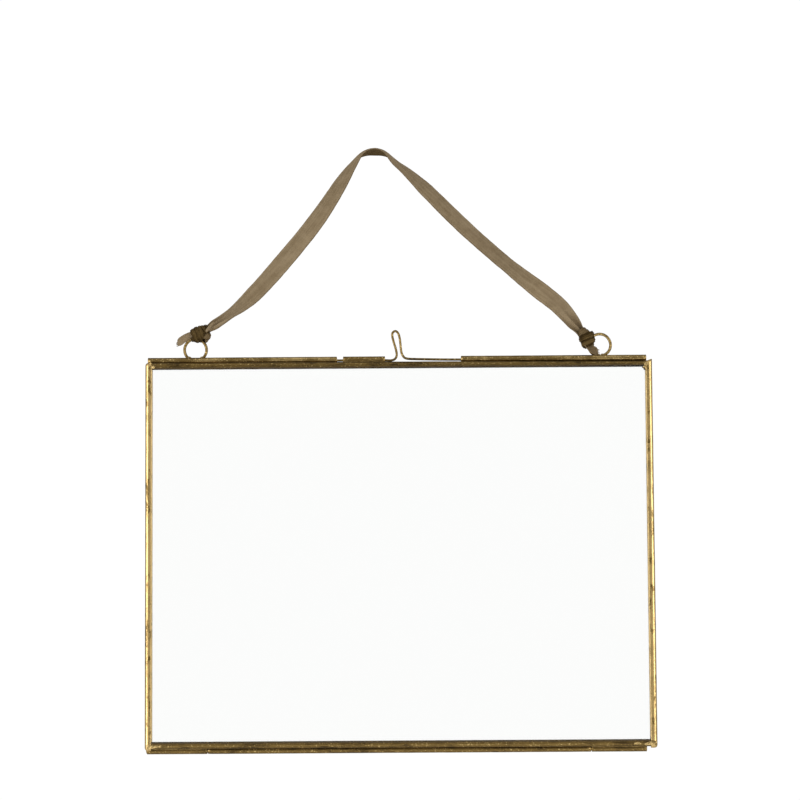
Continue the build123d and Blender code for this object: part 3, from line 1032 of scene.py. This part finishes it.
def tail(name, route, faces, width, cup, slant, material, seed):
    """A cut end of ribbon.  cup curls it across, and slant is how far its cut leans."""
    strip = laid(route, faces)
    line, total = strip[0], strip[-1][-1]

    def profile(s, v):
        share = s / total
        half = width(share) * MM / 2
        bow = cup(share)
        if abs(bow) < 0.05:
            out, deep = v * half, 0 * v
        else:
            radius = half / bow
            out, deep = radius * np.sin(v * bow), radius * (np.cos(v * bow) - 1)
        deep = deep + 0.12 * MM * np.sin(s / (1.9 * MM) + seed) * v
        deep = deep + 0.06 * MM * wave(v * 2 + s / (2 * MM), seed)
        lean = slant * MM * v * share ** 3 + 0.1 * MM * wave(v * 6, seed + 3) * share ** 6
        return out, deep, lean

    places = 30
    # The tail's curled hollows get painted shade.
    piece = band(name, *strip, profile, material, places, seed * MM, lambda s: 0.9)
    last = len(piece.data.vertices) - 2 * places
    edge = [piece.data.vertices[last + j].co.copy() for j in range(places)]
    direction = Vector(line[-1] - line[-3]).normalized()
    threads = frayed(f"{name}_threads", edge, direction, 46, 0.75, 3, material)
    return piece, threads


# ---- what is made ----


def finish_of(name, make, *values):
    """The material of this name, made the first time it is asked for."""
    return bpy.data.materials.get(name) or make(name, *values)


def repaint(node, material):
    piece = frame["nodes"][node]
    piece.data.materials.clear()
    piece.data.materials.append(material)


class MakeRails(bpy.types.Operator):
    """Bend the eight rails of the two leaves from sheet brass"""

    bl_idname = "floating_frame.rails"
    bl_label = "Rails"

    def execute(self, context):
        upright_highlight_brass = context.scene.frame_brass.upright_highlight_brass
        for i, leaf in enumerate(("front", "rear")):
            for j, side in enumerate(OUTWARDS):
                upright = side in ("left", "right")
                # Painted light and shade: the upright rails are lifted and given the paler brass, as lit by
                # the side lamps, and the level rails are lowered.
                look = (ALONG_Z, 3.0 + j, 0.56, 0.36, upright_highlight_brass)
                if not upright:
                    look = (ALONG_X, 3.0 + j, -0.06, 0.06)
                material = finish_of(f"rail_brass_{side}", brass, *look)
                rail(leaf, side, material, 11.0 * i + 2.3 * j)
        return {"FINISHED"}


class MakeTubes(bpy.types.Operator):
    """Roll the tubes of the latch and the barrels of the hinge"""

    bl_idname = "floating_frame.tubes"
    bl_label = "Tubes"

    def execute(self, context):
        # The second value of each look is painted light and shade: the top tubes and the knuckle are lifted as
        # if lit, the hinge is lowered.
        looks = {
            "left_top_tube": ("tube_brass", 0.26), "latch_knuckle": ("knuckle_brass", 0.16),
            "right_top_tube": ("tube_brass", 0.26), "left_hinge_knuckle": ("hinge_brass", -0.06),
            "hinge_centre_barrel": ("hinge_brass", -0.06), "right_hinge_knuckle": ("hinge_brass", -0.06),
        }
        for i, (node, (name, painted_lightness)) in enumerate(looks.items()):
            material = finish_of(name, brass, ALONG_X, 21.0, painted_lightness, 0.1)
            tube(node, material, 40.0 + i)
        return {"FINISHED"}


class MakeSolder(bpy.types.Operator):
    """Run the solder along the tubes and over the joints"""

    bl_idname = "floating_frame.solder"
    bl_label = "Solder"

    def execute(self, context):
        material = finish_of("toned_solder", solder, 6.0, 1.0)
        browned = finish_of("browned_solder", solder, 16.0, 0.42)
        seams = {
            "top_tube_seams": (("left_top_tube", "right_top_tube"), TOP_AXIS, REAR_Y, 1),
            "latch_knuckle_seam": (("latch_knuckle",), TOP_AXIS, FRONT_Y, 1),
            "hinge_barrel_seam": (("hinge_centre_barrel",), HINGE_AXIS, REAR_Y, -1),
            "hinge_knuckle_seams": (
                ("left_hinge_knuckle", "right_hinge_knuckle"), HINGE_AXIS, FRONT_Y, -1,
            ),
        }
        for i, (node, (tubes, axis, leaf_y, up)) in enumerate(seams.items()):
            beads = []
            for j, along in enumerate(tubes):
                low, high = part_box(along)
                low_x = max(low.x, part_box(node)[0].x)
                high_x = min(high.x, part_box(node)[1].x)
                place = (low_x, high_x, axis, leaf_y, up)
                beads.append(seam(f"{node}_{j}", *place, browned, 5.0 * i + j))
            ride(show(f"{node}_run", joined(node, beads), browned), node)
        for leaf in ("front", "rear"):
            drops = show(f"{leaf}_corner_solder_run", corner_drops(leaf), material)
            ride(drops, f"{leaf}_corner_solder")
        feet = []
        for i, ring in enumerate(("left_ring", "right_ring")):
            centre = middle(ring)
            place = Vector((centre.x, TOP_AXIS.y + TUBE_R, TOP_AXIS.z + 0.2 * MM))
            for j in range(5):
                shift = Vector(((j - 2) * 0.55 * MM, 0.1 * MM * sin(3 * j + i), 0.12 * MM * cos(5 * j)))
                feet.append(lump(place + shift, (0.75 * MM, 0.55 * MM, 0.85 * MM), 7 * i + j, 0.25))
            # A little of it creeps up each leg of the ring, above the tube.
            rise = TOP_AXIS.z + TUBE_R - centre.z
            reach = sqrt(RING_R ** 2 - rise ** 2)
            for side in (-1, 1):
                leg = Vector((centre.x + side * (reach - 0.3 * MM), centre.y, centre.z + rise + 0.1 * MM))
                feet.append(lump(leg, (0.95 * MM, 0.6 * MM, 0.55 * MM), 90 + 5 * i + side, 0.3))
        ride(show("ring_feet", joined("ring_feet", feet), browned), "ring_solder")
        end = middle("hinge_end_solder")
        size = span("hinge_end_solder") / 2
        cap = lump(end, (size.x, size.y * 0.97, size.z * 0.97), 31, 0.07)
        ride(show("hinge_end_drop", cap, material), "hinge_end_solder")
        return {"FINISHED"}


class MakeWires(bpy.types.Operator):
    """Draw the rings and the latch pin from brass wire, and give the hinge pin the same brass"""

    bl_idname = "floating_frame.wires"
    bl_label = "Wires"

    def execute(self, context):
        # The 0.24 lifts the wire's brass: painted light on the rings.
        material = finish_of("wire_brass", brass, ALL_ROUND, 33.0, 0.24, 0.3)
        for i, node in enumerate(("left_ring", "right_ring")):
            centre = middle(node)
            points = []
            for x, z in arc(RING_R, 0, 360, 73)[:-1]:
                worn = 1 + 0.012 * noise.noise(Vector((x, z, i)) * 260)
                points.append((x * worn, z * worn, 0))
            mesh = swept(node, chain(points, True), wire_section(RING_WIRE), material, 60.0 + i,
                         caps=False, bend=0.02, dents=0.02)
            mesh.transform(standing(centre, (1, 0, 0), (0, 0, 1)))
            ride(show(f"{node}_bent", mesh, material), node)
        low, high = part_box("latch_pin")
        foot_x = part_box("latch_knuckle")[1].x
        # The finger loop, in millimetres from the knuckle's end and the tubes' axis.
        loop = (
            (3.4, -0.5), (5.0, 1.1), (4.65, 3.9), (3.45, 7.7), (2.9, 10.3), (3.3, 11.3), (4.35, 11.9),
            (5.4, 11.15), (6.1, 9.2), (6.4, 6.3), (6.7, 2.85), (7.5, 1.1), (8.75, 0.2),
        )
        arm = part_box("right_top_tube")[0].x
        places = [
            (low.x, -LEFT_ARM_DROP), (foot_x, -LEFT_ARM_DROP),
            *((foot_x + x * MM, z * MM) for x, z in loop),
            (arm - 18 * MM, 0.05 * MM), (arm, -RIGHT_ARM_DROP), (high.x, -RIGHT_ARM_DROP),
        ]
        route = [(x, TOP_AXIS.y, TOP_AXIS.z + z) for x, z in places]
        line, gone = smooth_line(route, 0.45 * MM)
        mesh = swept("latch_pin", chain(line.tolist()), wire_section(PIN_WIRE), material, 70.0,
                     bend=0.0, dents=0.015, dent_length=3.0)
        ride(show("latch_pin_bent", mesh, material), "latch_pin")
        repaint("hinge_pin", material)
        return {"FINISHED"}


class FinishGlass(bpy.types.Operator):
    """Give the two panes their clear glass"""

    bl_idname = "floating_frame.glass"
    bl_label = "Glass"

    def execute(self, context):
        material = glass_finish()
        for node in ("front_glass", "rear_glass"):
            repaint(node, material)
        return {"FINISHED"}


class MakeRibbon(bpy.types.Operator):
    """Hang the ribbon, tie its two knots and fray its two tails"""

    bl_idname = "floating_frame.ribbon"
    bl_label = "Ribbon"

    def execute(self, context):
        knots = self.knots()
        tails = self.tails()
        piece, line = strap()
        ride(piece, "ribbon")
        return {"FINISHED"}

    def knots(self):
        settings = bpy.context.scene.frame_ribbon
        # Darker copies of the ribbon's cloth for the knots and their feet: painted shade of the knots' folds,
        # with stronger edge darkening in the grooves.
        tight = finish_of("knot_cloth", ribbon_finish, settings.tight, settings.crease_shade_colour, 0.5, 0.1)
        between = (0.215, 0.155, 0.082), (0.095, 0.062, 0.026)
        gathered = finish_of("gathered_cloth", ribbon_finish, *between, 0.4, 0.15)
        left = middle("left_knot")
        at = (left.x - 0.2 * MM, 0.0, left.z - 0.35 * MM)
        foot = (at[0] + 3.0 * MM, -1.1 * MM, at[2] - 0.9 * MM)
        over = [(-66.4, -2.4, -70.3), (-68.3, -3.3, -72.2), (-69.7, -3.2, -74.4)]
        parts = [
            core("left_knot_core", at, 25, 6.0 * MM, 2.2 * MM, tight),
            winding("left_knot_wraps", at, 16, (-3.1, 1.6), 3.3,
                    lambda t: 1.50 + 1.30 * np.sin(pi * (0.08 + 0.62 * t)), 2.3, tight, 3.0, 0.4, 0.75),
            winding("left_knot_lobe", at, 34, (1.7, 3.8), 1.6,
                    lambda t: 2.35 - 0.8 * t, 2.2, tight, 6.0, 2.0, 0.6),
            winding("left_knot_foot", foot, 62, (-1.9, 1.5), 1.7,
                    lambda t: 1.05 + 0.35 * t, 2.3, gathered, 9.0, 0.6, 0.5),
            self.fold("left_knot_fold", over, [30, 20, 10], 1.05, cloth()),
        ]
        pieces = [self.tied("left_knot_tied", parts, "left_knot")]
        right = middle("right_knot")
        at = (right.x, 0.0, right.z - 0.2 * MM)
        parts = [
            core("right_knot_core", at, -66, 6.6 * MM, 2.2 * MM, tight),
            winding("right_knot_wraps", at, -74, (-2.5, 2.9), 2.7,
                    lambda t: 2.85 - 0.9 * t ** 1.6, 2.9, tight, 12.0, 0.9, 0.8),
            winding("right_knot_neck", at, -58, (-3.9, -1.9), 1.5,
                    lambda t: 1.5 + 0.8 * t, 2.4, gathered, 15.0, -2.4, 0.6),
        ]
        pieces.append(self.tied("right_knot_tied", parts, "right_knot"))
        return pieces

    def fold(self, name, route, faces, width, material):
        """A folded strip that lies over a knot, its places and width in millimetres."""
        strip = laid(route, faces)
        total = strip[-1][-1]

        def profile(s, v):
            ends = sqrt(max(0.04, 1 - abs(2 * s / total - 1) ** 3))
            return v * width / 2 * MM * ends, 0.35 * MM * (1 - v ** 2) * ends, 0 * v

        return band(name, *strip, profile, material, 16)

    def tied(self, name, parts, node):
        """The parts of a knot as one piece."""
        finishes = []
        shape = bmesh.new()
        # The core has no shading values of its own, so the strips go in before it.
        for part in reversed(parts):
            finish = part.data.materials[0]
            if finish not in finishes:
                finishes.append(finish)
            for face in part.data.polygons:
                face.material_index = finishes.index(finish)
            shape.from_mesh(part.data)
        mesh = settled(shape, name)
        discard(*parts)
        piece = show(name, mesh, None)
        for finish in finishes:
            mesh.materials.append(finish)
        return ride(piece, node)

    def tails(self):
        material = cloth()
        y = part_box("left_tail")[0].y / MM * 0.5
        left = [(-75.0, y, -75.4), (-78.8, y, -76.1), (-81.6, y, -79.2)]
        right = [(87.0, y, -80.3), (88.2, y, -82.0), (90.0, y, -83.3), (91.9, y, -83.8)]
        pieces = []
        for name, route, faces, width, cup, slant, seed, node in (
            ("left_tail_cut", left, [8, 8, 8],
             lambda t: 3.1 * sqrt(1 - 0.8 * max(0, (t - 0.72) / 0.28) ** 2),
             lambda t: 0.6 - 0.2 * t, -0.5, 2.0, "left_tail"),
            ("right_tail_cut", right, [20, 20, 15, 10],
             lambda t: 3.9 + 0.3 * t - 1.2 * smooth((t - 0.8) / 0.2),
             lambda t: -1.35, 0.5, 8.0, "right_tail"),
        ):
            piece, threads = tail(name, route, faces, width, cup, slant, material, seed)
            whole = joined(name, [piece.data.copy(), threads])
            discard(piece)
            whole.shade_smooth()
            pieces.append(ride(show(name, whole, material), node))
        return pieces


class SetStage(bpy.types.Operator):
    """Set the camera, the soft lights, the pale floor and the bright wall behind"""

    bl_idname = "floating_frame.stage"
    bl_label = "Stage"

    def execute(self, context):
        scene = context.scene
        settings = scene.frame_stage
        lens = bpy.data.cameras.new("camera")
        lens.lens = settings.lens
        lens.sensor_width = 36
        lens.clip_start = 0.01
        camera = bpy.data.objects.new("camera", lens)
        turns = ((0.210, "Z"), (4.060, "X"), (0.366, "Y"), (90.0, "X"))
        turned = Matrix.Identity(4)
        for angle, axis in turns:
            turned = turned @ Matrix.Rotation(radians(angle), 4, axis)
        camera.matrix_world = Matrix.Translation((0.01339, -0.90674, -0.16722)) @ turned
        scene.collection.objects.link(camera)
        scene.camera = camera
        world = bpy.data.worlds.new("room")
        world.use_nodes = True
        world.node_tree.nodes.clear()
        nodes = Nodes(world.node_tree)
        # The room looks pale, straight or through the panes, but lights the brass dimly.
        seen = nodes.add("ShaderNodeLightPath", output="Is Camera Ray")
        through = nodes.add("ShaderNodeLightPath", output="Is Transmission Ray")
        strength = (seen + through).clamped() * (0.86 - settings.room) + settings.room
        values = {"Color": (1.0, 0.99, 0.97, 1.0), "Strength": strength}
        light = nodes.add("ShaderNodeBackground", None, values)
        nodes.add("ShaderNodeOutputWorld", None, {"Surface": light})
        scene.world = world
        scene.view_settings.view_transform = "Standard"
        for name, place, size, power in (
            ("left_softbox", (-0.66, -0.50, -0.10), (0.50, 0.9), 4.2),
            ("right_softbox", (0.68, -0.50, -0.10), (0.50, 0.9), 3.6),
            ("overhead", (0.0, -0.55, 0.62), (0.9, 0.45), 0.8),
            ("low_panel", (0.0, -0.50, -0.57), (0.9, 0.35), 0.9),
        ):
            light = bpy.data.lights.new(name, "AREA")
            light.shape = "RECTANGLE"
            light.size, light.size_y = size
            light.energy = power
            lamp = bpy.data.objects.new(name, light)
            lamp.location = place
            aim = Vector((0.01, 0, -0.14)) - Vector(place)
            lamp.rotation_euler = aim.to_track_quat("-Z", "Y").to_euler()
            lamp.visible_transmission = False
            lamp.visible_camera = False
            scene.collection.objects.link(lamp)
        wall = self.board("wall_behind", (0, 1.2, 0), (1.6, 1.6), (90, 0, 0), settings.backdrop)
        floor = self.board("floor", (0, 0, -0.6), (2.0, 2.0), (0, 0, 0), None)
        wall.visible_glossy = False
        return {"FINISHED"}

    def board(self, name, place, size, turns, glow):
        """A flat board, lit from within if it has a glow."""
        corners = [(x * size[0], y * size[1], 0) for x, y in ((-1, -1), (1, -1), (1, 1), (-1, 1))]
        mesh = bpy.data.meshes.new(name)
        mesh.from_pydata(corners, [], [(0, 1, 2, 3)])
        material, nodes = new_material(name)
        if glow:
            light = nodes.add("ShaderNodeEmission", None, {"Color": (1, 1, 1, 1), "Strength": glow})
            nodes.add("ShaderNodeOutputMaterial", None, {"Surface": light})
        else:
            grain = nodes.speckle(millimetres(nodes), 0.02, 1.0)
            tone = nodes.blend(grain, (0.76, 0.75, 0.73), (0.80, 0.79, 0.77))
            finish_material(nodes, {"Base Color": tone, "Roughness": 0.8})
        mesh.materials.append(material)
        matrix = Matrix.Translation(place)
        for angle, axis in zip(turns, "XYZ"):
            matrix = matrix @ Matrix.Rotation(radians(angle), 4, axis)
        mesh.transform(matrix)
        return show(name, mesh, None)


# ---- the panel and the run ----


MAKERS = (SetStage, MakeRibbon, MakeRails, MakeTubes, MakeSolder, MakeWires, FinishGlass)
SETTINGS = {
    "frame_brass": FrameBrass, "frame_ribbon": FrameRibbon,
    "frame_glass": FrameGlass, "frame_stage": FrameStage,
}


class FloatingFramePanel(bpy.types.Panel):
    """Lists what the frame is made of"""

    bl_idname = "VIEW3D_PT_floating_frame"
    bl_label = "Floating frame"
    bl_space_type = "VIEW_3D"
    bl_region_type = "UI"
    bl_category = "Floating frame"

    def draw(self, context):
        for maker in MAKERS:
            self.layout.operator(maker.bl_idname)
        for name, kind in SETTINGS.items():
            box = self.layout.box()
            for prop in kind.__annotations__:
                box.prop(getattr(context.scene, name), prop)


def register():
    for kind in (*SETTINGS.values(), *MAKERS, FloatingFramePanel):
        bpy.utils.register_class(kind)
    for name, kind in SETTINGS.items():
        setattr(bpy.types.Scene, name, PointerProperty(type=kind))


def unregister():
    for name in SETTINGS:
        delattr(bpy.types.Scene, name)
    for kind in (FloatingFramePanel, *reversed(MAKERS), *reversed(SETTINGS.values())):
        bpy.utils.unregister_class(kind)


def main():
    register()
    for maker in MAKERS:
        group, name = maker.bl_idname.split(".")
        getattr(getattr(bpy.ops, group), name)()


if __name__ == "__main__":
    main()
